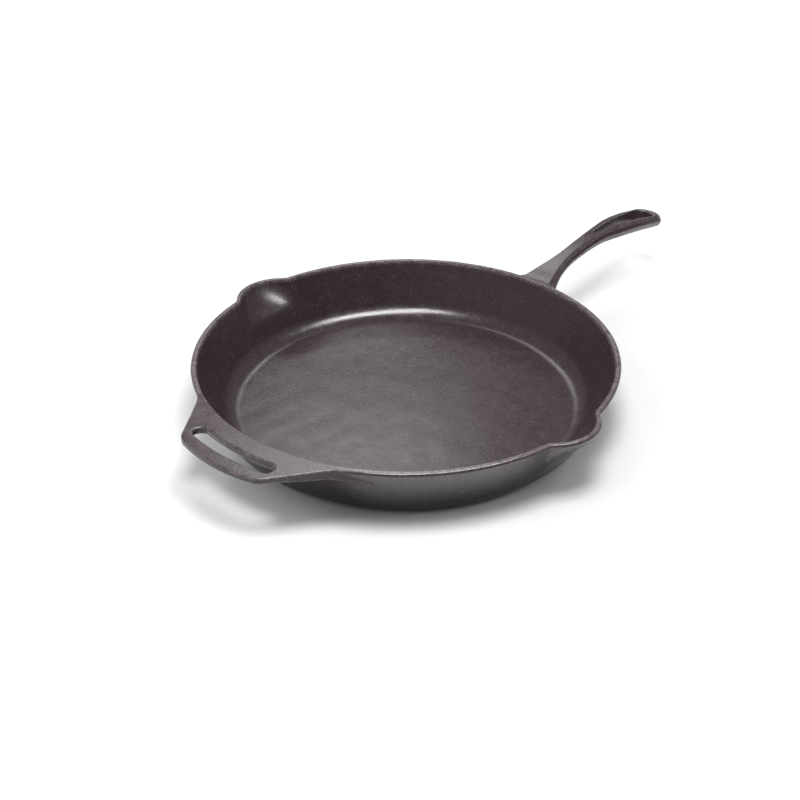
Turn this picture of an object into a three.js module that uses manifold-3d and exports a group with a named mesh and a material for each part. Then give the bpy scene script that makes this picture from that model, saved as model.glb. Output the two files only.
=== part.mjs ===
// A one-piece cast iron skillet, 350 mm across the rim, with two pour lips, a helper handle and a
// long handle with a hanging slot.
// Millimetres, +Z up. The origin is the centre of the flat underside. +X runs out along the long
// handle, -X out through the helper handle, and the pour lips face +Y and -Y.
// The real object is one casting, so the pieces below are its regions, parted by hairline gaps.
import * as THREE from "three";
import { mergeVertices } from "three/addons/utils/BufferGeometryUtils.js";
import Module from "manifold-3d";

const wasm = await Module();
wasm.setup();

// Bowl.
const RIM_RADIUS = 175;
const RIM_LAND = 4.2; // width of the rim, from its widest edge to the inside of the wall
const HEIGHT = 52;
const BASE_RADIUS = 151.5; // where the wall's outer line would meet the ground
const BASE_ROUND = 18;
const FLOOR = 6;
const FLOOR_FILLET = 18;
const RIM_OUTER_ROUND = 1.8;
const RIM_INNER_ROUND = 0.5;

// Pour lips.
const LIP_REACH = 12.5; // how far a lip stands out past the rim circle
const LIP_HALF_WIDTH = 30;
const LIP_FOOT = 12; // height at which a lip starts to swell out of the wall
const LIP_BLEND = 0.1; // softness of the hollow corner between lip and rim
const LIP_HALF_ANGLE = THREE.MathUtils.degToRad(13); // the stretch of wall that belongs to a lip
const BOWL_SEGMENTS = 120;
const ARC_DIVISIONS = 2;
const SEGMENT_CROWDING = 0.3; // draws the segments together at the lips

// Helper handle: a plate level with the rim, thickest where it leaves the wall.
const HELPER_ROOT = new THREE.Vector2(-140.5, 96.5); // a point inside the wall
const HELPER_JUNCTION = new THREE.Vector2(-161, 72.5); // where its side leaves the rim
const HELPER_JUNCTION_RADIUS = 90;
const HELPER_CORNER = new THREE.Vector2(-206.5, 41);
const HELPER_CORNER_ROUND = 8; // length of each side that the rounding of the corner takes up
const HELPER_END_RADIUS = 141;
const HELPER_REACH = 211.5;
const HELPER_ROOT_DEPTH = 8;
const HELPER_END_DEPTH = 5;
const FINGER_SLOT_INNER = 187;
const FINGER_SLOT_OUTER = 199.3;
const FINGER_SLOT_LENGTH = 84;

// Long handle, station by station: distance from the bowl's axis, half width, height of its top
// above the rim, and depth from its top to its underside.
const HANDLE_STATIONS = [
  { x: 163, half: 26, top: -2, depth: 26 },
  { x: 176, half: 19.5, top: 0.4, depth: 16.5 },
  { x: 191, half: 13.8, top: 4.6, depth: 11.5 },
  { x: 210, half: 9.6, top: 9, depth: 10.2 },
  { x: 238, half: 9, top: 14.2, depth: 10.6 },
  { x: 264, half: 10.2, top: 17.2, depth: 11.6 },
  { x: 290, half: 13.8, top: 16.6, depth: 12.2 },
  { x: 318, half: 15.8, top: 13.2, depth: 12 },
  { x: 345, half: 16, top: 8.2, depth: 12 },
  { x: 364, half: 16, top: 4, depth: 11 },
];
const HANDLE_END = 363.5;
const HANDLE_END_RADIUS = 16;
const HANG_SLOT_POINT = 262;
const HANG_SLOT_END = 351;
const HANG_SLOT_RADIUS = 10.3;
const HANG_SLOT_POINT_RADIUS = 1.6;

const GAP = 0.3; // between neighbouring regions
const BEYOND = 400; // farther than any part of the skillet reaches
const ABOVE = 104; // higher than any part of the skillet reaches
const WELD = 1e-4; // corner points nearer than this are one point
const OUTLINE_DIVISIONS = 8; // fineness of the curves in the handles' outlines

const IRON = { color: 0x4a4447, roughness: 0.55, metalness: 0.6 };

// A geometry whose faces share their corner points.
function joined(geometry) {
  geometry.deleteAttribute("normal");
  geometry.deleteAttribute("uv");
  return mergeVertices(geometry, WELD);
}

// A closed three.js geometry as a manifold-3d solid. Faces that have shrunk to a line, as a lathe
// makes on its axis, are left out.
function solid(geometry) {
  const whole = joined(geometry);
  const faces = [];
  for (let i = 0; i < whole.index.count; i += 3) {
    const [a, b, c] = whole.index.array.slice(i, i + 3);
    if (a !== b && b !== c && c !== a) faces.push(a, b, c);
  }
  return new wasm.Manifold(
    new wasm.Mesh({
      numProp: 3,
      vertProperties: whole.attributes.position.array,
      triVerts: new Uint32Array(faces),
    }),
  );
}

// A manifold-3d solid as a named three.js mesh.
function namedMesh(name, shape) {
  const { vertProperties, triVerts } = shape.getMesh();
  const geometry = new THREE.BufferGeometry();
  geometry.setAttribute("position", new THREE.BufferAttribute(new Float32Array(vertProperties), 3));
  geometry.setIndex(new THREE.BufferAttribute(new Uint32Array(triVerts), 1));
  geometry.computeVertexNormals();
  const mesh = new THREE.Mesh(geometry, new THREE.MeshStandardMaterial(IRON));
  mesh.name = name;
  return mesh;
}

// Replaces the corner at `corner`, on the way to `next`, with an arc of the given radius.
function roundCorner(path, corner, next, radius) {
  const from = path.currentPoint.clone();
  const back = from.sub(corner).normalize();
  const ahead = next.clone().sub(corner).normalize();
  const halfAngle = Math.acos(back.dot(ahead)) / 2;
  const toTangent = radius / Math.tan(halfAngle);
  const toCentre = radius / Math.sin(halfAngle);
  const middle = back.clone().add(ahead).normalize();
  const centre = corner.clone().addScaledVector(middle, toCentre);
  const start = corner.clone().addScaledVector(back, toTangent);
  if (path.curves.length === 0) path.lineTo(start.x, start.y);
  start.sub(centre);
  const end = corner.clone().addScaledVector(ahead, toTangent).sub(centre);
  const clockwise = start.cross(end) < 0;
  path.absarc(centre.x, centre.y, radius, start.angle(), end.angle(), clockwise);
}

// A profile of (radius, height) corners, all rounded but the first and the last.
function profile(corners) {
  const points = corners.map(([radius, height]) => new THREE.Vector2(radius, height));
  const path = new THREE.Path();
  path.moveTo(points[0].x, points[0].y);
  for (let i = 1; i < points.length - 1; i++) {
    roundCorner(path, points[i], points[i + 1], corners[i][2]);
  }
  path.lineTo(points.at(-1).x, points.at(-1).y);
  return path.getPoints(ARC_DIVISIONS);
}

// How far the wall is pushed out of round, at an angle about the axis and a height: 0 away from
// the pour lips, and a rounded bump that grows smoothly up the wall at each of them.
function lipSwell(angle, height) {
  const fromLip = Math.abs(Math.abs(angle) - Math.PI / 2) * RIM_RADIUS;
  const bump = 1 - (fromLip / LIP_HALF_WIDTH) ** 2;
  const plan = (bump + Math.hypot(bump, LIP_BLEND)) / 2;
  return LIP_REACH * plan * THREE.MathUtils.smoothstep(height, LIP_FOOT, HEIGHT);
}

// Turns a profile about Z and swells it at the pour lips, by less towards the axis.
function bowlSolid(points) {
  const geometry = joined(new THREE.LatheGeometry(points, BOWL_SEGMENTS));
  geometry.rotateX(Math.PI / 2);
  const position = geometry.attributes.position;
  for (let i = 0; i < position.count; i++) {
    const radius = Math.hypot(position.getX(i), position.getY(i));
    const height = position.getZ(i);
    const even = Math.atan2(position.getY(i), position.getX(i));
    const angle = even + SEGMENT_CROWDING * Math.sin(2 * even);
    const share = THREE.MathUtils.smoothstep(radius, BASE_RADIUS - FLOOR_FILLET, BASE_RADIUS);
    const swollen = radius + share * lipSwell(angle, height);
    position.setXY(i, swollen * Math.cos(angle), swollen * Math.sin(angle));
  }
  return solid(geometry);
}

// The wall leans outwards, so the rounded edge of the rim is widest a little inside this radius,
// where the wall's outer line would meet the level of the rim.
const WALL_LEAN = Math.atan2(HEIGHT, RIM_RADIUS - BASE_RADIUS);
const RIM_CORNER = RIM_RADIUS + RIM_OUTER_ROUND * (1 / Math.tan(WALL_LEAN / 2) - 1);

// The whole bowl: floor, wall, rim and lips. The inside of the wall is parallel to its outside.
function castBowl() {
  const innerRim = RIM_RADIUS - RIM_LAND;
  const innerFoot = innerRim - (RIM_CORNER - BASE_RADIUS) * (1 - FLOOR / HEIGHT);
  const corners = [
    [0, 0],
    [BASE_RADIUS, 0, BASE_ROUND],
    [RIM_CORNER, HEIGHT, RIM_OUTER_ROUND],
    [innerRim, HEIGHT, RIM_INNER_ROUND],
    [innerFoot, FLOOR, FLOOR_FILLET],
    [0, FLOOR],
  ];
  return bowlSolid(profile(corners));
}

// All the space that the bowl fills or holds, grown by the gap, for the handles to stop at.
function bowlEnvelope() {
  const widestHeight = (HEIGHT * (RIM_RADIUS - BASE_RADIUS)) / (RIM_CORNER - BASE_RADIUS);
  const levelGap = GAP / Math.sin(WALL_LEAN);
  const points = [
    new THREE.Vector2(0, 0),
    new THREE.Vector2(BASE_RADIUS + levelGap, 0),
    new THREE.Vector2(RIM_RADIUS + levelGap, widestHeight),
    new THREE.Vector2(RIM_RADIUS + levelGap, ABOVE),
    new THREE.Vector2(0, ABOVE),
  ];
  return bowlSolid(points);
}

// Everything between two heights.
function slab(bottom, top) {
  const geometry = new THREE.BoxGeometry(2 * BEYOND, 2 * BEYOND, top - bottom);
  return solid(geometry.translate(0, 0, (top + bottom) / 2));
}

// Everything within an angle of a direction about Z, drawn in by half the gap on both sides.
function sector(direction, halfAngle) {
  const apex = GAP / 2 / Math.sin(halfAngle);
  const shape = new THREE.Shape();
  shape.moveTo(apex, 0);
  shape.lineTo(apex + BEYOND * Math.cos(halfAngle), -BEYOND * Math.sin(halfAngle));
  shape.absarc(apex, 0, BEYOND, -halfAngle, halfAngle, false);
  const geometry = new THREE.ExtrudeGeometry(shape, { depth: ABOVE, bevelEnabled: false });
  return solid(geometry.rotateZ(direction));
}

// A shape that is the same on both sides of the X axis, from the outline of its +Y half.
function mirroredShape(half) {
  const other = half.map((p) => new THREE.Vector2(p.x, -p.y)).reverse();
  return new THREE.Shape([...half, ...other]);
}

function fingerSlot() {
  const middle = (FINGER_SLOT_INNER + FINGER_SLOT_OUTER) / 2;
  const round = (FINGER_SLOT_OUTER - FINGER_SLOT_INNER) / 2;
  const turn = Math.asin((FINGER_SLOT_LENGTH / 2 - round) / middle);
  const endX = -middle * Math.cos(turn);
  const endY = middle * Math.sin(turn);
  const slot = new THREE.Path();
  slot.absarc(0, 0, FINGER_SLOT_INNER, Math.PI + turn, Math.PI - turn, true);
  slot.absarc(endX, endY, round, -turn, Math.PI - turn, false);
  slot.absarc(0, 0, FINGER_SLOT_OUTER, Math.PI - turn, Math.PI + turn, false);
  slot.absarc(endX, -endY, round, Math.PI + turn, 2 * Math.PI + turn, false);
  return slot;
}

// What two outlines have in common: one seen from above, one seen from the side.
function carved(plan, side) {
  const flat = { bevelEnabled: false, curveSegments: OUTLINE_DIVISIONS };
  const upright = new THREE.ExtrudeGeometry(plan, { ...flat, depth: ABOVE });
  const across = new THREE.ExtrudeGeometry(side, { ...flat, depth: 2 * RIM_RADIUS });
  across.rotateX(Math.PI / 2);
  across.translate(0, RIM_RADIUS, 0);
  return solid(upright).intersect(solid(across));
}

function helperHandle(envelope) {
  const half = new THREE.Path();
  half.moveTo(0, HELPER_ROOT.y);
  half.lineTo(HELPER_ROOT.x, HELPER_ROOT.y);
  roundCorner(half, HELPER_JUNCTION, HELPER_CORNER, HELPER_JUNCTION_RADIUS);
  const endCentre = -HELPER_REACH + HELPER_END_RADIUS;
  const cornerAngle = Math.atan2(HELPER_CORNER.y, HELPER_CORNER.x - endCentre);
  const endStart = cornerAngle + HELPER_CORNER_ROUND / HELPER_END_RADIUS;
  const onEnd = new THREE.Vector2(
    endCentre + HELPER_END_RADIUS * Math.cos(endStart),
    HELPER_END_RADIUS * Math.sin(endStart),
  );
  const sideLength = HELPER_CORNER.distanceTo(HELPER_JUNCTION);
  const onSide = HELPER_CORNER.clone().lerp(HELPER_JUNCTION, HELPER_CORNER_ROUND / sideLength);
  half.lineTo(onSide.x, onSide.y);
  half.quadraticCurveTo(HELPER_CORNER.x, HELPER_CORNER.y, onEnd.x, onEnd.y);
  half.absarc(endCentre, 0, HELPER_END_RADIUS, endStart, Math.PI, false);
  const plan = mirroredShape(half.getPoints(OUTLINE_DIVISIONS));
  plan.holes.push(fingerSlot());

  const side = new THREE.Shape();
  side.moveTo(0, HEIGHT);
  side.lineTo(-HELPER_REACH, HEIGHT);
  side.lineTo(-HELPER_REACH, HEIGHT - HELPER_END_DEPTH);
  side.lineTo(-FINGER_SLOT_OUTER, HEIGHT - HELPER_END_DEPTH);
  side.lineTo(HELPER_JUNCTION.x, HEIGHT - HELPER_ROOT_DEPTH);
  side.lineTo(0, HEIGHT - HELPER_ROOT_DEPTH);
  return carved(plan, side).subtract(envelope);
}

// The teardrop that the skillet hangs by: a small round point, straight sides, a large round end.
function hangSlot() {
  const pointX = HANG_SLOT_POINT + HANG_SLOT_POINT_RADIUS;
  const endX = HANG_SLOT_END - HANG_SLOT_RADIUS;
  const lean = Math.acos((HANG_SLOT_RADIUS - HANG_SLOT_POINT_RADIUS) / (endX - pointX));
  const side = Math.PI - lean;
  const slot = new THREE.Path();
  slot.absarc(endX, 0, HANG_SLOT_RADIUS, -side, side, false);
  slot.absarc(pointX, 0, HANG_SLOT_POINT_RADIUS, side, 2 * Math.PI - side, false);
  return slot;
}

function longHandle(envelope) {
  const along = (measure) => HANDLE_STATIONS.map((s) => new THREE.Vector2(s.x, measure(s)));
  const endCentre = HANDLE_END - HANDLE_END_RADIUS;

  const half = new THREE.Path();
  const sides = along((s) => s.half).filter((p) => p.x < endCentre);
  half.moveTo(sides[0].x, sides[0].y);
  half.splineThru([...sides.slice(1), new THREE.Vector2(endCentre, HANDLE_END_RADIUS)]);
  half.absarc(endCentre, 0, HANDLE_END_RADIUS, Math.PI / 2, 0, true);
  const plan = mirroredShape(half.getPoints(OUTLINE_DIVISIONS));
  plan.holes.push(hangSlot());

  const top = along((s) => HEIGHT + s.top);
  const bottom = along((s) => HEIGHT + s.top - s.depth).reverse();
  const side = new THREE.Shape();
  side.moveTo(top[0].x, top[0].y);
  side.splineThru(top.slice(1));
  side.lineTo(bottom[0].x, bottom[0].y);
  side.splineThru(bottom.slice(1));
  return carved(plan, side).subtract(envelope);
}

const bowl = castBowl();
const envelope = bowlEnvelope();
const wall = bowl.intersect(slab(FLOOR + GAP, ABOVE));
const wallHalfAngle = Math.PI / 2 - LIP_HALF_ANGLE;

const skillet = new THREE.Group();
skillet.add(
  namedMesh("base_plate", bowl.intersect(slab(-FLOOR, FLOOR))),
  namedMesh("side_wall_handle_side", wall.intersect(sector(0, wallHalfAngle))),
  namedMesh("side_wall_helper_side", wall.intersect(sector(Math.PI, wallHalfAngle))),
  namedMesh("pour_lip_left", wall.intersect(sector(Math.PI / 2, LIP_HALF_ANGLE))),
  namedMesh("pour_lip_right", wall.intersect(sector(-Math.PI / 2, LIP_HALF_ANGLE))),
  namedMesh("helper_handle", helperHandle(envelope)),
  namedMesh("long_handle", longHandle(envelope)),
);

export default skillet;
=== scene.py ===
"""A one-piece cast iron skillet with two pour lips, a slotted helper handle and a long handle.

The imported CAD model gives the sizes. Every region of the casting is rebuilt here as a fine mesh
with cast edges, root fillets and a seasoned iron surface. Shapes are worked out in millimetres
and turned into metres as each mesh is made. +X runs out along the long handle.
"""

import math

import bpy
import numpy as np
from mathutils import Matrix, Vector


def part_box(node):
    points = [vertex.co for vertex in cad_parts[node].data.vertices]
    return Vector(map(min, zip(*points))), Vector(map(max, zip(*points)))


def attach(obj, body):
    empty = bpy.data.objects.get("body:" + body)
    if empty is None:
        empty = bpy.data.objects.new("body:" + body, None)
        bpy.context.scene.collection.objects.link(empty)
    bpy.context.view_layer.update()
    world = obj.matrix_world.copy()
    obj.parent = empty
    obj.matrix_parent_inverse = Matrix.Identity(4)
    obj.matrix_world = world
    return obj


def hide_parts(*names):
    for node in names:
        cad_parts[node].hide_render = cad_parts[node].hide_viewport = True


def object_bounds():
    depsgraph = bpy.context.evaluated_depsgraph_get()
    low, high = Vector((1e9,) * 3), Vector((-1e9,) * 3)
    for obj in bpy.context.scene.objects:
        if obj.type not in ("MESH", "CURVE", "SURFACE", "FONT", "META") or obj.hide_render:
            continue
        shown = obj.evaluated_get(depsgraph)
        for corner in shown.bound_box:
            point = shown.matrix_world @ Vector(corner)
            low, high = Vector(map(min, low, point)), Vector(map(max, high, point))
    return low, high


MM = 0.001

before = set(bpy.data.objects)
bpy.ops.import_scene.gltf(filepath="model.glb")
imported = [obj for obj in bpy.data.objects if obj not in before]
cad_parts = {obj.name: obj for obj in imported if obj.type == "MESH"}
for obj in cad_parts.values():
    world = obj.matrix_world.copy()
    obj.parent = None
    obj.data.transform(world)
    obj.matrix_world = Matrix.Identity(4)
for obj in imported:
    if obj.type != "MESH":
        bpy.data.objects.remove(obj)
cad_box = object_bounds()


def reach_of(node, axis, side=1):
    """A CAD node's reach along an axis in millimetres: side 1 is its high end, 0 its low end."""
    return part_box(node)[side][axis] / MM


# Bowl.
HEIGHT = reach_of("side_wall_handle_side", 2)
RIM_RADIUS = reach_of("side_wall_handle_side", 0)
FLOOR = reach_of("base_plate", 2)
RIM_LAND = 4.2
WALL_FLARE = 23.5  # how much further out the rim is than the foot of the wall
BASE_RADIUS = RIM_RADIUS - WALL_FLARE
BASE_ROUND = 18
FLOOR_FILLET = 18
RIM_OUTER_ROUND = 1.8
RIM_INNER_ROUND = 0.5
WALL_LEAN = math.atan2(HEIGHT, RIM_RADIUS - BASE_RADIUS)
RIM_CORNER = RIM_RADIUS + RIM_OUTER_ROUND * (1 / math.tan(WALL_LEAN / 2) - 1)
SEAM_HEIGHT = FLOOR + 1.2  # where the base casting is parted from the wall castings

# Pour lips.
LIP_HALF_WIDTH = 30
LIP_FOOT = 12
LIP_HOLLOW_FOOT = 31  # the hollow inside a lip starts higher than its bulge outside
LIP_BLEND = 0.1
LIP_HOLLOW_BLEND = 0.08
LIP_REACH = reach_of("pour_lip_left", 1) - RIM_RADIUS
LIP_HALF_ANGLE = math.radians(13)

# Helper handle.
HELPER_REACH = -reach_of("helper_handle", 0, 0)
HELPER_END_RADIUS = 141
HELPER_CORNER = (-206.5, 41)
HELPER_JUNCTION = (-161, 72.5)
HELPER_JUNCTION_RADIUS = 90
HELPER_ROOT = (-140.5, 96.5)
HELPER_CORNER_ROUND = 3.5
HELPER_ROOT_DEPTH = 8
HELPER_END_DEPTH = 5
FINGER_SLOT_INNER = 187
FINGER_SLOT_OUTER = 199.3
FINGER_SLOT_LENGTH = 84
HELPER_EDGE = 1.2
HELPER_LOWER_EDGE = 1.0
HELPER_SLOT_EDGE = 1.5
HELPER_SIDE_FILLET = 2
HELPER_WALL_FILLET = 9

# Long handle, station by station: distance from the bowl's axis, half width, height of its top
# above the rim, and height of its underside above the rim.
HANDLE_STATIONS = np.array(
    [
        (150, 34, 0, -40),
        (163, 26, 0, -28),
        (172.5, 21.2, 0, -19),
        (176, 19.5, 0.4, -16.1),
        (191, 13.8, 4.6, -6.9),
        (210, 9.6, 9, -1.2),
        (238, 9, 14.2, 3.6),
        (264, 10.2, 17.2, 5.6),
        (290, 13.8, 16.6, 4.4),
        (318, 15.8, 13.2, 1.2),
        (345, 16, 8.2, -3.8),
        (368, 16, 3.2, -7.8),
    ]
)
HANDLE_END = reach_of("long_handle", 0)
HANDLE_END_RADIUS = 16
HANG_SLOT_POINT = 262
HANG_SLOT_END = 351
HANG_SLOT_RADIUS = 10.3
HANG_SLOT_POINT_RADIUS = 1.6
HANDLE_EDGE = 2.6
HANDLE_SLOT_EDGE = 1.0
HANDLE_SIDE_FILLET = 4
HANDLE_WALL_FILLET = 6
PARTING_EDGE = 0.8
PARTING_SHARE = 0.5  # how far down the side the two halves of the mould met
UPPER_DRAFT = math.tan(math.radians(24))
SLOT_DRAFT = math.tan(math.radians(8))
LOWER_DRAFT = math.tan(math.radians(24))

PLUG_DEPTH = 3.0  # how deep a handle's root is let into the wall
PLUG_SHRINK = 0.02  # keeps a root's hidden skin just under the wall's surface
PITCH = 0.65  # lattice of the handles' meshes
LATTICE_MARGIN = 9  # how far the lattice goes past a CAD node; it leaves the handles' roots open

# Steps of the bowl's mesh.
PROFILE_SPACING = 3.2
PROFILE_ARC_STEP = math.radians(6)
WALL_STATIONS = 181
LIP_STATIONS = 81

# Wear, and painted shade that darkens the outside towards the bottom: shares between 0 and 1, and the
# millimetres over which they fade.
RIM_WEAR = 0.9
RIM_WEAR_FADE = (1.2, 0.15)
RIM_OUTER_SAVING = 0.75
RIM_OUTER_WIDTH = 2
HELPER_WEAR_SAVING = 0.7
HELPER_WEAR_ANGLES = (math.radians(148), math.radians(158))
# Painted shade: how much the outside's colour darkens, from the underside up the wall and under the
# handles' roots.
PAINTED_SHADE_WALL_LOSS = 0.6
PAINTED_SHADE_FOOT = 10
PAINTED_SHADE_TOP_FADE = (6, 1)
PAINTED_SHADE_REACH = (1, 14)
EDGE_WEAR = 0.55
EDGE_BEND = (0.12, 0.5)
TOP_FACING = (0.8, 0.97)
HELPER_TOP_WEAR = 0.25
HANDLE_TOP_WEAR = 0.06


def smoothstep(value, low, high):
    t = np.clip((value - low) / (high - low), 0, 1)
    return t * t * (3 - 2 * t)


# Surface unevenness of the casting: a few long, shallow waves in fixed directions.
WAVE_HEIGHT = 0.05
WAVE_COUNT = 10
WAVE_GAIN = 3
WAVE_LENGTHS = (22, 60)
waves = np.random.default_rng(7)
WAVE_DIRECTIONS = waves.normal(size=(WAVE_COUNT, 3))
WAVE_DIRECTIONS /= np.linalg.norm(WAVE_DIRECTIONS, axis=1)[:, None]
WAVE_NUMBERS = 2 * math.pi / waves.uniform(*WAVE_LENGTHS, WAVE_COUNT)
WAVE_PHASES = waves.uniform(0, 2 * math.pi, WAVE_COUNT)


def waviness(points):
    """Height of the unevenness at points (..., 3); none on the underside that it stands on."""
    phase = points @ (WAVE_DIRECTIONS * WAVE_NUMBERS[:, None]).T + WAVE_PHASES
    return WAVE_HEIGHT * np.sin(phase).mean(-1) * WAVE_GAIN * smoothstep(points[..., 2], 0, FLOOR)


# Bowl -----------------------------------------------------------------------------------------


def rounded_line(corners, spacing, arc_step):
    """Samples a line through (radius, height, rounding) corners. Returns points and directions."""
    places = [np.array(corner[:2], float) for corner in corners]
    points, directions = [], []
    start = places[0]
    for here, following, corner in zip(places[1:], places[2:] + [None], corners[1:]):
        ahead = (here - start) / np.linalg.norm(here - start)
        if following is None:
            end = here
        else:
            turned = (following - here) / np.linalg.norm(following - here)
            side = np.sign(ahead[0] * turned[1] - ahead[1] * turned[0])
            turn = math.acos(ahead @ turned)
            end = here - ahead * corner[2] * math.tan(turn / 2)
        steps = max(1, round(np.linalg.norm(end - start) / spacing))
        for i in range(steps):
            points.append(start + (end - start) * i / steps)
            directions.append(ahead)
        if following is None:
            break
        centre = end + side * corner[2] * np.array((-ahead[1], ahead[0]))
        arc_steps = max(2, round(turn / arc_step))
        for i in range(arc_steps):
            angle = side * turn * i / arc_steps
            c, s = math.cos(angle), math.sin(angle)
            direction = np.array((c * ahead[0] - s * ahead[1], s * ahead[0] + c * ahead[1]))
            points.append(centre - side * corner[2] * np.array((-direction[1], direction[0])))
            directions.append(direction)
        start = here + turned * corner[2] * math.tan(turn / 2)
    points.append(end)
    directions.append(ahead)
    return np.array(points), np.array(directions)


def bowl_profile():
    """The bowl's outline, from the centre of its underside over the rim to its floor's centre."""
    inner_rim = RIM_RADIUS - RIM_LAND
    inner_foot = inner_rim - (RIM_CORNER - BASE_RADIUS) * (1 - FLOOR / HEIGHT)
    corners = [
        (0, 0),
        (BASE_RADIUS, 0, BASE_ROUND),
        (RIM_CORNER, HEIGHT, RIM_OUTER_ROUND),
        (inner_rim, HEIGHT, RIM_INNER_ROUND),
        (inner_foot, FLOOR, FLOOR_FILLET),
        (0, FLOOR),
    ]
    return rounded_line(corners, PROFILE_SPACING, PROFILE_ARC_STEP)


def lip_swell(angle, height, inside):
    """How far a pour lip pushes the wall out: a gentle bulge outside, a scooped hollow inside."""
    from_lip = np.abs(np.abs(angle) - math.pi / 2) * RIM_RADIUS
    bump = 1 - (from_lip / LIP_HALF_WIDTH) ** 2
    plan = (bump + np.hypot(bump, LIP_BLEND)) / 2
    t = np.minimum((height - LIP_HOLLOW_FOOT) / (HEIGHT - LIP_HOLLOW_FOOT), 1)
    t = (t + np.hypot(t, LIP_HOLLOW_BLEND)) / 2
    rise = np.where(inside, t * (2 - t), smoothstep(height, LIP_FOOT, HEIGHT))
    return LIP_REACH * plan * rise


def bowl_point(profile, outward, angle):
    """The bowl's surface at profile points (n, 2) with outward directions (n, 2), at angles (m)."""
    radius, height = profile[:, :1], profile[:, 1:]
    share = smoothstep(radius, BASE_RADIUS - FLOOR_FILLET, BASE_RADIUS)
    swollen = radius + share * lip_swell(angle, height, outward[:, :1] < 0)
    unwaved = np.broadcast_arrays(swollen * np.cos(angle), swollen * np.sin(angle), height)
    wave = waviness(np.stack(unwaved, -1))
    swollen = swollen + wave * outward[:, :1]
    height = height + wave * outward[:, 1:]
    return np.stack((swollen * np.cos(angle), swollen * np.sin(angle), height), -1)


def bowl_grid(profile, directions, angle):
    """Points and outward normals of the bowl's surface, profile samples by angles."""
    outward = np.stack((directions[:, 1], -directions[:, 0]), -1)
    nudge = 0.02
    along = bowl_point(profile + nudge * directions, outward, angle)
    along = along - bowl_point(profile - nudge * directions, outward, angle)
    turn = nudge / RIM_RADIUS
    around = bowl_point(profile, outward, angle + turn) - bowl_point(profile, outward, angle - turn)
    on_axis = profile[:, 0] < 1
    around[on_axis] = np.stack((-np.sin(angle), np.cos(angle), 0 * angle), -1)
    normals = np.cross(around, along)
    normals /= np.linalg.norm(normals, axis=-1)[..., None]
    return bowl_point(profile, outward, angle), normals


def rim_wear(profile):
    """Where hands and utensils have burnished the rim: its flat land and the edges of that."""
    radius, height = profile[:, 0], profile[:, 1]
    near_top = smoothstep(height, HEIGHT - RIM_WEAR_FADE[0], HEIGHT - RIM_WEAR_FADE[1])
    outermost = smoothstep(radius, RIM_RADIUS - RIM_OUTER_WIDTH, RIM_RADIUS)
    return RIM_WEAR * near_top * (1 - RIM_OUTER_SAVING * outermost)


def painted_low_shade(height):
    """Painted shade on the outside by height: darkest on the underside, fading up the wall."""
    fade_start, fade_end = HEIGHT - PAINTED_SHADE_TOP_FADE[0], HEIGHT - PAINTED_SHADE_TOP_FADE[1]
    up_the_wall = 1 - PAINTED_SHADE_WALL_LOSS * smoothstep(height, PAINTED_SHADE_FOOT, fade_start)
    return up_the_wall * (1 - smoothstep(height, fade_start, fade_end))


def bowl_painted_shade(profile, directions):
    """Painted shade along the bowl's outline, on the outside only: its underside runs outwards and its
    outer wall runs up.
    """
    outside = (directions[:, 0] > 0.5) | (directions[:, 1] > 0)
    return np.where(outside, painted_low_shade(profile[:, 1]), 0)


def away_from_helper(angle):
    """1 around most of the rim, less where the helper handle grows out of it."""
    return 1 - HELPER_WEAR_SAVING * smoothstep(np.abs(angle), *HELPER_WEAR_ANGLES)


def grid_quads(rows, columns, row_numbers=None, closed=False):
    """Quads over a grid of vertices numbered row by row, in the order that faces them outwards."""
    number = np.arange(rows * columns).reshape(rows, columns)
    if closed:
        number = np.concatenate((number, number[:, :1]), 1)
    if row_numbers is None:
        first, second = number[:-1], number[1:]
    else:
        first, second = number[list(row_numbers)][:, None]
    quads = np.stack((first[..., :-1], first[..., 1:], second[..., 1:], second[..., :-1]), -1)
    return quads.reshape(-1, 4)


def make_piece(node, points, faces, normals, wear_and_painted_shade, flat_faces=0):
    """A mesh object that stands for a CAD node. Its last flat_faces faces are hidden parting faces."""
    name = "cast_" + node
    mesh = bpy.data.meshes.new(name)
    mesh.from_pydata((points * MM).tolist(), [], faces)
    smooth = np.ones(len(faces), bool)
    if flat_faces:
        smooth[-flat_faces:] = False
    mesh.polygons.foreach_set("use_smooth", smooth)
    # The attribute holds wear above zero and painted shade below zero.
    attribute = mesh.attributes.new("wear_and_painted_shade", "FLOAT", "POINT")
    attribute.data.foreach_set("value", wear_and_painted_shade.astype(np.float32))
    corner_vertex = np.empty(len(mesh.loops), int)
    mesh.loops.foreach_get("vertex_index", corner_vertex)
    corner_normals = normals[corner_vertex]
    if flat_faces:
        first_flat = mesh.polygons[len(faces) - flat_faces].loop_start
        corner_normals[first_flat:] = 0
    mesh.normals_split_custom_set(corner_normals.tolist())
    piece = bpy.data.objects.new(name, mesh)
    bpy.context.scene.collection.objects.link(piece)
    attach(piece, "root")
    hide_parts(node)
    return piece


def wall_piece(node, profile, directions, angle):
    """A stretch of wall between two angles, closed by parting faces below and at both ends."""
    grid, normals = bowl_grid(profile, directions, angle)
    rows, columns = grid.shape[:2]
    wear_and_painted_shade = np.outer(rim_wear(profile), away_from_helper(angle))
    # Painted shade on the outside, stored as below-zero values.
    wear_and_painted_shade -= bowl_painted_shade(profile, directions)[:, None]
    skin = grid_quads(rows, columns).tolist()
    foot = grid_quads(rows, columns, (-1, 0)).tolist()
    start = [row * columns for row in range(rows)]
    end = [row * columns + columns - 1 for row in reversed(range(rows))]
    faces = skin + foot + [start, end]
    points, normals = grid.reshape(-1, 3), normals.reshape(-1, 3)
    return make_piece(node, points, faces, normals, wear_and_painted_shade.ravel(), len(foot) + 2)


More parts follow.
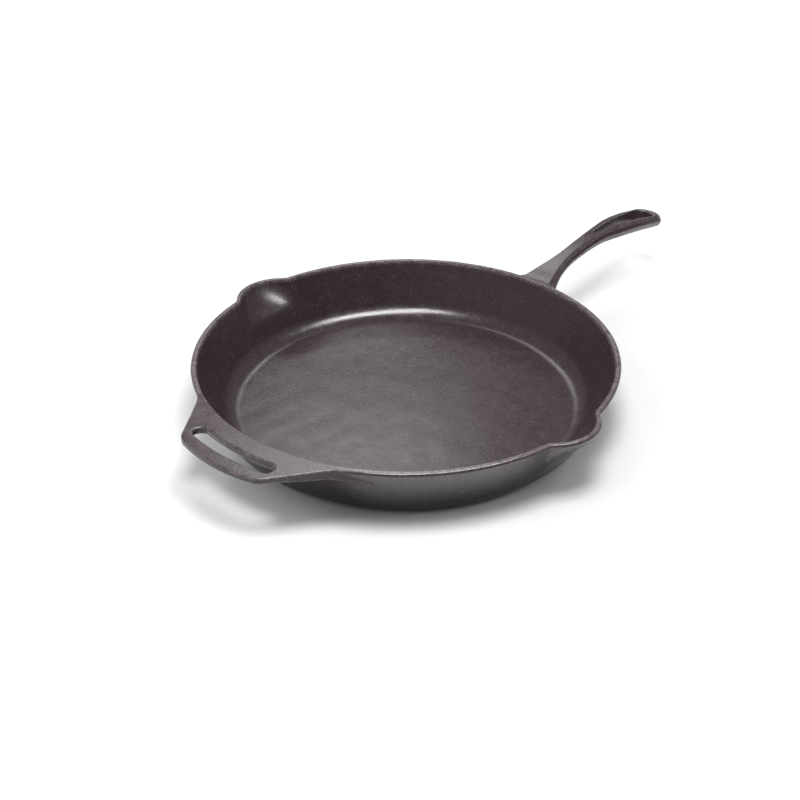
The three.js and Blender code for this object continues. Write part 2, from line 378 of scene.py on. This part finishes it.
def base_piece(node, profile, directions, angle, below):
    """The base: underside and foot (the first rows, below the wall), then the inside floor."""
    inner = slice(1, -1)
    grid, normals = bowl_grid(profile[inner], directions[inner], angle)
    rows, columns = grid.shape[:2]
    skin = grid_quads(rows, columns, closed=True).reshape(rows - 1, columns, 4)
    parting = skin[below - 2]
    visible = np.concatenate((skin[: below - 2], skin[below - 1 :])).reshape(-1, 4)
    under, over = rows * columns, rows * columns + 1
    ring = np.arange(columns)
    after = np.roll(ring, -1)
    last = (rows - 1) * columns
    fans = [(under, b, a) for a, b in zip(ring.tolist(), after.tolist())]
    fans += [(over, last + a, last + b) for a, b in zip(ring.tolist(), after.tolist())]
    poles = bowl_point(profile[[0, -1]], np.array([(0, -1), (0, 1)]), np.zeros(1))[:, 0]
    points = np.concatenate((grid.reshape(-1, 3), poles))
    all_normals = np.concatenate((normals.reshape(-1, 3), [(0, 0, -1), (0, 0, 1)]))
    faces = visible.tolist() + fans + parting.tolist()
    # Painted shade on the underside and foot, stored as below-zero values; the centre of the underside
    # gets the most.
    wear_and_painted_shade = np.repeat(-bowl_painted_shade(profile[inner], directions[inner]), columns)
    wear_and_painted_shade = np.concatenate((wear_and_painted_shade, [-1, 0]))
    return make_piece(node, points, faces, all_normals, wear_and_painted_shade, len(parting))


def make_bowl():
    """The base, both walls and both pour lips, as pieces that share their edges exactly."""
    profile, directions = bowl_profile()
    raised = np.flatnonzero(profile[:, 1] > SEAM_HEIGHT)
    outer_seam, inner_seam = raised[0], raised[-1]
    lip_start = math.pi / 2 - LIP_HALF_ANGLE
    lip_end = math.pi / 2 + LIP_HALF_ANGLE
    sectors = {
        "side_wall_handle_side": np.linspace(-lip_start, lip_start, WALL_STATIONS),
        "pour_lip_left": np.linspace(lip_start, lip_end, LIP_STATIONS),
        "side_wall_helper_side": np.linspace(lip_end, 2 * math.pi - lip_end, WALL_STATIONS),
        "pour_lip_right": np.linspace(-lip_end, -lip_start, LIP_STATIONS),
    }
    wall = slice(outer_seam, inner_seam + 1)
    pieces = []
    for node, angle in sectors.items():
        wrapped = (angle + math.pi) % (2 * math.pi) - math.pi
        pieces.append(wall_piece(node, profile[wall], directions[wall], wrapped))
    around = np.concatenate([angle[:-1] for angle in sectors.values()])
    wrapped = (around + math.pi) % (2 * math.pi) - math.pi
    base = np.r_[0 : outer_seam + 1, inner_seam : len(profile)]
    pieces.append(base_piece("base_plate", profile[base], directions[base], wrapped, outer_seam + 1))
    return pieces


# Handles --------------------------------------------------------------------------------------


def meet(a, b, radius):
    """The overlap of two distance fields, with its edge rounded."""
    u, v = np.maximum(radius + a, 0), np.maximum(radius + b, 0)
    return np.minimum(-radius, np.maximum(a, b)) + np.hypot(u, v)


def join(a, b, radius):
    """The union of two distance fields, with a fillet in its corner."""
    return -meet(-a, -b, radius)


def outer_wall(points):
    """Distance outside the cone of the bowl's outer wall."""
    radius = np.hypot(points[:, 0], points[:, 1])
    line = BASE_RADIUS + points[:, 2] / math.tan(WALL_LEAN)
    return (radius - line) * math.sin(WALL_LEAN)


def through_stations(x, column):
    """A smooth curve through one column of HANDLE_STATIONS, and its slope."""
    knots, values = HANDLE_STATIONS[:, 0], HANDLE_STATIONS[:, column]
    slopes = np.gradient(values, knots)
    x = np.clip(x, knots[0], knots[-1])
    i = np.clip(np.searchsorted(knots, x, side="right") - 1, 0, len(knots) - 2)
    width = knots[i + 1] - knots[i]
    t = (x - knots[i]) / width
    rise = values[i + 1] - values[i]
    start, end = slopes[i] * width, slopes[i + 1] * width
    square = 3 * rise - 2 * start - end
    cube = start + end - 2 * rise
    curve = values[i] + t * (start + t * (square + t * cube))
    slope = (start + t * (2 * square + t * 3 * cube)) / width
    return curve, slope


def rooted(sides, underside, top, points, side_fillet, under_fillet, edge, lower_edge):
    """A handle's solid with its root let into the wall: fillets below the rim, level with it on top."""
    wall = outer_wall(points)
    cast = meet(join(sides, wall, side_fillet), join(underside, wall, under_fillet), lower_edge)
    cast = meet(cast, top, edge)
    limits = np.maximum(sides - side_fillet - 1, underside - under_fillet - 1)
    return np.maximum(np.maximum(cast, limits), -wall - PLUG_DEPTH) + PLUG_SHRINK


def teardrop(x, y):
    """Distance outside the long handle's hanging slot."""
    start = HANG_SLOT_POINT + HANG_SLOT_POINT_RADIUS
    length = HANG_SLOT_END - HANG_SLOT_RADIUS - start
    small, large = HANG_SLOT_POINT_RADIUS, HANG_SLOT_RADIUS
    lean = (large - small) / length
    upright = math.sqrt(1 - lean * lean)
    along, across = x - start, np.abs(y)
    level = along * upright + across * lean
    straight = across * upright - along * lean - small
    before = np.hypot(along, across) - small
    beyond = np.hypot(along - length, across) - large
    return np.where(level < 0, before, np.where(level > length * upright, beyond, straight))


def long_handle_field(points):
    """Distance outside the long handle."""
    x, y, z = points.T
    half, half_slope = through_stations(x, 1)
    top, top_slope = through_stations(x, 2)
    under, under_slope = through_stations(x, 3)
    parting = HEIGHT + top + (under - top) * PARTING_SHARE
    past_end = np.maximum(x - (HANDLE_END - HANDLE_END_RADIUS), 0)
    across = (np.hypot(past_end, y) - half) / np.hypot(1, half_slope)
    upper = (across + (z - parting) * UPPER_DRAFT) / math.hypot(1, UPPER_DRAFT)
    lower = (across + (parting - z) * LOWER_DRAFT) / math.hypot(1, LOWER_DRAFT)
    sides = meet(upper, lower, PARTING_EDGE)
    above = (z - HEIGHT - top) / np.hypot(1, top_slope)
    below = (HEIGHT + under - z) / np.hypot(1, under_slope)
    fillets = HANDLE_SIDE_FILLET, HANDLE_WALL_FILLET
    solid = rooted(sides, below, above, points, *fillets, HANDLE_EDGE, HANDLE_EDGE)
    slot = teardrop(x, y) - (above + HANDLE_EDGE) * SLOT_DRAFT
    return meet(solid, -slot, HANDLE_SLOT_EDGE)


def helper_outline(x, y):
    """Distance outside the helper handle's outline: a round end, sides that sweep to the rim."""
    y = np.abs(y)
    end_centre = HELPER_END_RADIUS - HELPER_REACH
    end = np.hypot(x - end_centre, y) - HELPER_END_RADIUS
    places = HELPER_ROOT, HELPER_JUNCTION, HELPER_CORNER
    root, junction, corner = (np.array(place, float) for place in places)

    def beside(a, b):
        across = np.array((a[1] - b[1], b[0] - a[0]))
        across = -across / np.linalg.norm(across)
        return (x - a[0]) * across[0] + (y - a[1]) * across[1]

    inner, outer = beside(root, junction), beside(junction, corner)
    back, ahead = root - junction, corner - junction
    opening = math.acos(back @ ahead / np.linalg.norm(back) / np.linalg.norm(ahead))
    softness = HELPER_JUNCTION_RADIUS * (1 / math.sin(opening / 2) - 1) * 2
    side = (inner + outer - np.hypot(inner - outer, softness)) / 2
    return meet(side, end, HELPER_CORNER_ROUND)


def finger_slot(x, y):
    """Distance outside the helper handle's slot, a stretch of ring with round ends."""
    middle = (FINGER_SLOT_INNER + FINGER_SLOT_OUTER) / 2
    round_end = (FINGER_SLOT_OUTER - FINGER_SLOT_INNER) / 2
    turn = math.asin((FINGER_SLOT_LENGTH / 2 - round_end) / middle)
    angle = np.arctan2(np.abs(y), -x)
    to_end = np.hypot(x + middle * math.cos(turn), np.abs(y) - middle * math.sin(turn))
    return np.where(angle < turn, np.abs(np.hypot(x, y) - middle), to_end) - round_end


def helper_field(points):
    """Distance outside the helper handle."""
    x, y, z = points.T
    thinning = smoothstep(-x, RIM_RADIUS - 10, FINGER_SLOT_OUTER + 4)
    depth = HELPER_ROOT_DEPTH + (HELPER_END_DEPTH - HELPER_ROOT_DEPTH) * thinning
    below = HEIGHT - depth - z
    sides = helper_outline(x, y)
    fillets = HELPER_SIDE_FILLET, HELPER_WALL_FILLET
    solid = rooted(sides, below, z - HEIGHT, points, *fillets, HELPER_EDGE, HELPER_LOWER_EDGE)
    return meet(solid, -finger_slot(x, y), HELPER_SLOT_EDGE)


def gradient(field, points, reach=0.05):
    """Slope of a field at points."""
    steps = reach * np.eye(3)
    return np.stack([field(points + step) - field(points - step) for step in steps], -1) / (2 * reach)


def surface_net(field, low, high):
    """The zero surface of a field between two corners, as points and outward quads."""
    counts = np.ceil((high - low) / PITCH).astype(int) + 1
    axes = [low[k] + PITCH * np.arange(counts[k]) for k in range(3)]
    lattice = np.stack(np.meshgrid(*axes, indexing="ij"), -1)
    value = field(lattice.reshape(-1, 3)).reshape(counts)
    cells = counts - 1
    total = np.zeros((*cells, 3))
    crossings = np.zeros(cells)
    quads = []
    for axis in range(3):
        b, c = (axis + 1) % 3, (axis + 2) % 3
        near = np.take(value, range(cells[axis]), axis)
        far = np.take(value, range(1, counts[axis]), axis)
        crosses = (near < 0) != (far < 0)
        share = np.where(crosses, near / np.where(crosses, near - far, 1), 0)
        place = np.take(lattice, range(cells[axis]), axis).copy()
        place[..., axis] += PITCH * share
        place *= crosses[..., None]
        for p in range(2):
            for q in range(2):
                window = [slice(None)] * 3
                window[b] = slice(p, p + cells[b])
                window[c] = slice(q, q + cells[c])
                total += place[tuple(window)]
                crossings += crosses[tuple(window)]
        edges = np.argwhere(crosses)
        inside_b = (edges[:, b] > 0) & (edges[:, b] < cells[b])
        inside_c = (edges[:, c] > 0) & (edges[:, c] < cells[c])
        edges = edges[inside_b & inside_c]
        rising = near[tuple(edges.T)] < 0
        corners = []
        for p, q in ((1, 1), (0, 1), (0, 0), (1, 0)):
            cell = edges.copy()
            cell[:, b] -= p
            cell[:, c] -= q
            corners.append(np.ravel_multi_index(tuple(cell.T), cells))
        corners = np.stack(corners, -1)
        quads.append(np.where(rising[:, None], corners, corners[:, ::-1]))
    used = crossings.reshape(-1) > 0
    number = np.cumsum(used) - 1
    points = total.reshape(-1, 3)[used] / crossings.reshape(-1)[used, None]
    return points, number[np.concatenate(quads)]


def settled(field, points):
    """Points moved onto the zero surface of a field."""
    for _ in range(5):
        slope = gradient(field, points)
        step = field(points)[:, None] * slope / np.maximum((slope**2).sum(1), 0.25)[:, None]
        points = points - np.clip(step, -PITCH / 3, PITCH / 3)
    return points


def bend(field, points, reach=0.9):
    """How sharply a surface bends, as the field's Laplacian per millimetre: above 0 on its edges."""
    steps = reach * np.concatenate((np.eye(3), -np.eye(3)))
    around = sum(field(points + step) for step in steps)
    return (around - 6 * field(points)) / reach**2


def handle_piece(node, field, top_wear):
    """A handle as a piece: its surface net, settled on the field's zero surface."""
    low, high = (np.array(corner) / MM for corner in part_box(node))
    points, quads = surface_net(field, low - LATTICE_MARGIN, high + LATTICE_MARGIN)
    points = settled(field, points)
    normals = gradient(field, points)
    normals /= np.linalg.norm(normals, axis=1)[:, None]
    wear_and_painted_shade = EDGE_WEAR * smoothstep(bend(field, points), *EDGE_BEND)
    wear_and_painted_shade = np.maximum(wear_and_painted_shade, top_wear * smoothstep(normals[:, 2], *TOP_FACING))
    # Painted shade on a handle's low parts close to the wall, under its root.
    wear_and_painted_shade -= painted_low_shade(points[:, 2]) * (1 - smoothstep(outer_wall(points), *PAINTED_SHADE_REACH))
    points = points + normals * waviness(points)[:, None]
    return make_piece(node, points, quads.tolist(), normals, wear_and_painted_shade)


# Seasoned iron --------------------------------------------------------------------------------


FILM_DARK = (0.0260, 0.0148, 0.0195)
FILM_LIGHT = (0.0345, 0.0208, 0.0265)
MOTTLE_COLOUR = (0.038, 0.0265, 0.0315)
GRAIN_COLOUR = (0.047, 0.034, 0.040)
# Colour of the painted shade on the outside.
PAINTED_SHADE_COLOUR = (0.008, 0.0062, 0.0070)
WORN_COLOUR = (0.18, 0.152, 0.157)
WORN_SMOOTHING = 0.06
IRON_IOR = 1.47
FILM_ROUGHNESS = (0.19, 0.29)


def map_range(tree, value, low, high, to_low, to_high):
    """A smooth ramp of a value, from to_low at low to to_high at high."""
    node = tree.nodes.new("ShaderNodeMapRange")
    node.interpolation_type = "SMOOTHSTEP"
    ends = {"From Min": low, "From Max": high, "To Min": to_low, "To Max": to_high}
    for name, number in ends.items():
        node.inputs[name].default_value = number
    tree.links.new(value, node.inputs["Value"])
    return node.outputs["Result"]


def seasoned_iron():
    """Seasoned cast iron: sand-cast grain, mottled oil film, burnished edges, and painted shade that
    darkens the outside towards the bottom.
    """
    material = bpy.data.materials.new("seasoned_iron")
    material.use_nodes = True
    tree = material.node_tree
    nodes, links = tree.nodes, tree.links
    shader = nodes["Principled BSDF"]
    coordinates = nodes.new("ShaderNodeTexCoord")

    def noise(scale, detail, roughness, distortion=0.0):
        node = nodes.new("ShaderNodeTexNoise")
        node.inputs["Scale"].default_value = scale
        node.inputs["Detail"].default_value = detail
        node.inputs["Roughness"].default_value = roughness
        node.inputs["Distortion"].default_value = distortion
        links.new(coordinates.outputs["Object"], node.inputs["Vector"])
        return node.outputs["Fac"]

    def spread(value, low, high, to_low, to_high):
        return map_range(tree, value, low, high, to_low, to_high)

    def combine(operation, a, b):
        node = nodes.new("ShaderNodeMath")
        node.operation = operation
        for socket, value in zip(node.inputs, (a, b)):
            if isinstance(value, (int, float)):
                socket.default_value = value
            else:
                links.new(value, socket)
        return node.outputs["Value"]

    def mix(share, a, b):
        node = nodes.new("ShaderNodeMix")
        node.data_type = "RGBA"
        links.new(share, node.inputs["Factor"])
        sockets = [s for s in node.inputs if s.type == "RGBA"]
        for socket, value in zip(sockets, (a, b)):
            if isinstance(value, tuple):
                socket.default_value = (*value, 1)
            else:
                links.new(value, socket)
        return [s for s in node.outputs if s.type == "RGBA"][0]

    def bump(height, distance, strength, below=None):
        node = nodes.new("ShaderNodeBump")
        node.inputs["Distance"].default_value = distance
        node.inputs["Strength"].default_value = strength
        links.new(height, node.inputs["Height"])
        if below is not None:
            links.new(below, node.inputs["Normal"])
        return node.outputs["Normal"]

    # Wear above zero, painted shade below zero.
    wear_and_painted_shade = nodes.new("ShaderNodeAttribute")
    wear_and_painted_shade.attribute_name = "wear_and_painted_shade"
    patches = noise(16, 4, 0.6, 0.4)
    mottle = noise(110, 4, 0.52)
    grain = noise(620, 2, 0.6)
    fine = noise(1500, 2, 0.5)

    film = mix(spread(patches, 0.3, 0.7, 0, 1), FILM_DARK, FILM_LIGHT)
    film = mix(spread(mottle, 0.3, 0.75, 0, 0.6), film, MOTTLE_COLOUR)
    film = mix(spread(grain, 0.42, 0.66, 0, 0.75), film, GRAIN_COLOUR)
    worn_share = combine("MULTIPLY", wear_and_painted_shade.outputs["Fac"], spread(mottle, 0.25, 0.6, 0.45, 1.0))
    worn_share = combine("MAXIMUM", worn_share, 0.0)
    sandy_share = combine("MULTIPLY", worn_share, spread(grain, 0.42, 0.62, 0.45, 1.4))
    # Painted shade: below-zero values darken the colour towards the painted shade colour.
    film = mix(spread(wear_and_painted_shade.outputs["Fac"], -1, 0, 0.85, 0), film, PAINTED_SHADE_COLOUR)
    colour = mix(sandy_share, film, WORN_COLOUR)
    links.new(colour, shader.inputs["Base Color"])

    unevenness = combine("ADD", mottle, combine("MULTIPLY", grain, 0.6))
    rough = spread(unevenness, 0.5, 1.1, *FILM_ROUGHNESS)
    rough = combine("SUBTRACT", rough, combine("MULTIPLY", worn_share, WORN_SMOOTHING))
    links.new(rough, shader.inputs["Roughness"])
    shader.inputs["IOR"].default_value = IRON_IOR

    normal = bump(patches, 0.0006, 0.15)
    normal = bump(mottle, 0.0003, 0.16, normal)
    normal = bump(grain, 0.00008, 0.9, normal)
    normal = bump(fine, 0.00003, 0.7, normal)
    links.new(normal, shader.inputs["Normal"])
    return material


# Stage ----------------------------------------------------------------------------------------

CAMERA_AZIMUTH = math.radians(-47.54)
CAMERA_ELEVATION = math.radians(31.74)
CAMERA_ROLL = math.radians(-0.47)
CAMERA_DISTANCE = 1.160
CAMERA_AIM = Vector((-0.0194, -0.0109, 0.020))
CAMERA_LENS = 63.9

SKY_TURN = math.radians(215)  # from the camera round to the bright side of the world
SKY_ELEVATION = math.radians(55)
SKY_EDGE = (-0.25, 0.15)
SKY_STRENGTH = (0.02, 0.3)
SKY_COLOUR = (1, 0.99, 0.985, 1)

TABLE_REACH = 60
TABLE_DROP = 0.0002
TABLE_WHITE = (0.86, 0.86, 0.86, 1)
TABLE_ROUGHNESS = 0.3
TABLE_GLOW_RING = (0.2, 0.75)  # metres from the bowl's axis over which the glow comes up
TABLE_GLOW = (0, 0.9)


def direction_to(azimuth, elevation):
    """The direction towards an azimuth (0 is -Y, 90 degrees is +X) and an elevation, in radians."""
    level = math.cos(elevation)
    return Vector((math.sin(azimuth) * level, -math.cos(azimuth) * level, math.sin(elevation)))


def make_camera():
    camera = bpy.data.objects.new("camera", bpy.data.cameras.new("camera"))
    bpy.context.scene.collection.objects.link(camera)
    camera.data.lens = CAMERA_LENS
    back = direction_to(CAMERA_AZIMUTH, CAMERA_ELEVATION)
    right = Vector((0, 0, 1)).cross(back).normalized()
    up = back.cross(right)
    level = Matrix((right, up, back)).transposed().to_4x4()
    place = Matrix.Translation(CAMERA_AIM + CAMERA_DISTANCE * back)
    camera.matrix_world = place @ level @ Matrix.Rotation(CAMERA_ROLL, 4, "Z")
    bpy.context.scene.camera = camera


def softbox(name, azimuth, elevation, distance, width, height, brightness):
    """A rectangular area light that faces the skillet, as bright as a surface of that brightness."""
    light = bpy.data.lights.new(name, "AREA")
    light.shape = "RECTANGLE"
    light.size = width
    light.size_y = height
    light.energy = brightness * math.pi * width * height
    lamp = bpy.data.objects.new(name, light)
    bpy.context.scene.collection.objects.link(lamp)
    towards = direction_to(math.radians(azimuth), math.radians(elevation))
    lamp.location = towards * distance
    lamp.rotation_euler = towards.to_track_quat("Z", "Y").to_euler()
    return lamp


def make_world():
    """A dim studio: grey above and behind the skillet, nearly black on the camera's side."""
    world = bpy.data.worlds.new("studio")
    bpy.context.scene.world = world
    world.use_nodes = True
    tree = world.node_tree
    nodes, links = tree.nodes, tree.links
    coordinates = nodes.new("ShaderNodeTexCoord")
    dot = nodes.new("ShaderNodeVectorMath")
    dot.operation = "DOT_PRODUCT"
    dot.inputs[1].default_value = direction_to(CAMERA_AZIMUTH + SKY_TURN, SKY_ELEVATION)
    links.new(coordinates.outputs["Generated"], dot.inputs[0])
    shade = map_range(tree, dot.outputs["Value"], *SKY_EDGE, *SKY_STRENGTH)
    background = nodes["Background"]
    background.inputs["Color"].default_value = SKY_COLOUR
    links.new(shade, background.inputs["Strength"])


def make_floor():
    """A plain white table top that glows away from the skillet, so the background is white."""
    mesh = bpy.data.meshes.new("table_top")
    turns = ((-1, -1), (1, -1), (1, 1), (-1, 1))
    corners = [(x * TABLE_REACH, y * TABLE_REACH, 0) for x, y in turns]
    mesh.from_pydata(corners, [], [(0, 1, 2, 3)])
    floor = bpy.data.objects.new("table_top", mesh)
    bpy.context.scene.collection.objects.link(floor)
    floor.location.z = cad_box[0].z - TABLE_DROP
    material = bpy.data.materials.new("table_white")
    material.use_nodes = True
    tree = material.node_tree
    nodes, links = tree.nodes, tree.links
    shader = nodes["Principled BSDF"]
    shader.inputs["Base Color"].default_value = TABLE_WHITE
    shader.inputs["Roughness"].default_value = TABLE_ROUGHNESS
    shader.inputs["Emission Color"].default_value = (1, 1, 1, 1)
    coordinates = nodes.new("ShaderNodeTexCoord")
    distance = nodes.new("ShaderNodeVectorMath")
    distance.operation = "LENGTH"
    links.new(coordinates.outputs["Object"], distance.inputs[0])
    glow = map_range(tree, distance.outputs["Value"], *TABLE_GLOW_RING, *TABLE_GLOW)
    links.new(glow, shader.inputs["Emission Strength"])
    floor.data.materials.append(material)


iron = seasoned_iron()
castings = make_bowl()
castings.append(handle_piece("helper_handle", helper_field, HELPER_TOP_WEAR))
castings.append(handle_piece("long_handle", long_handle_field, HANDLE_TOP_WEAR))
for casting in castings:
    casting.data.materials.append(iron)

make_camera()
make_world()
make_floor()
softbox("top_softbox", -28, 76.6, 1.233, 0.55, 0.46, 14.5).visible_glossy = False
softbox("top_glow", -18, 76.0, 1.24, 1.1, 0.42, 26).visible_diffuse = False
softbox("rear_softbox", 136.5, 44, 2.2, 0.5, 0.85, 3.9)
softbox("left_fill", -130, 40, 1.7, 1.2, 1.2, 3.2).visible_glossy = False
softbox("right_fill", 30, 45, 1.7, 1.0, 1.0, 2.2).visible_glossy = False
bpy.context.scene.view_settings.view_transform = "Standard"
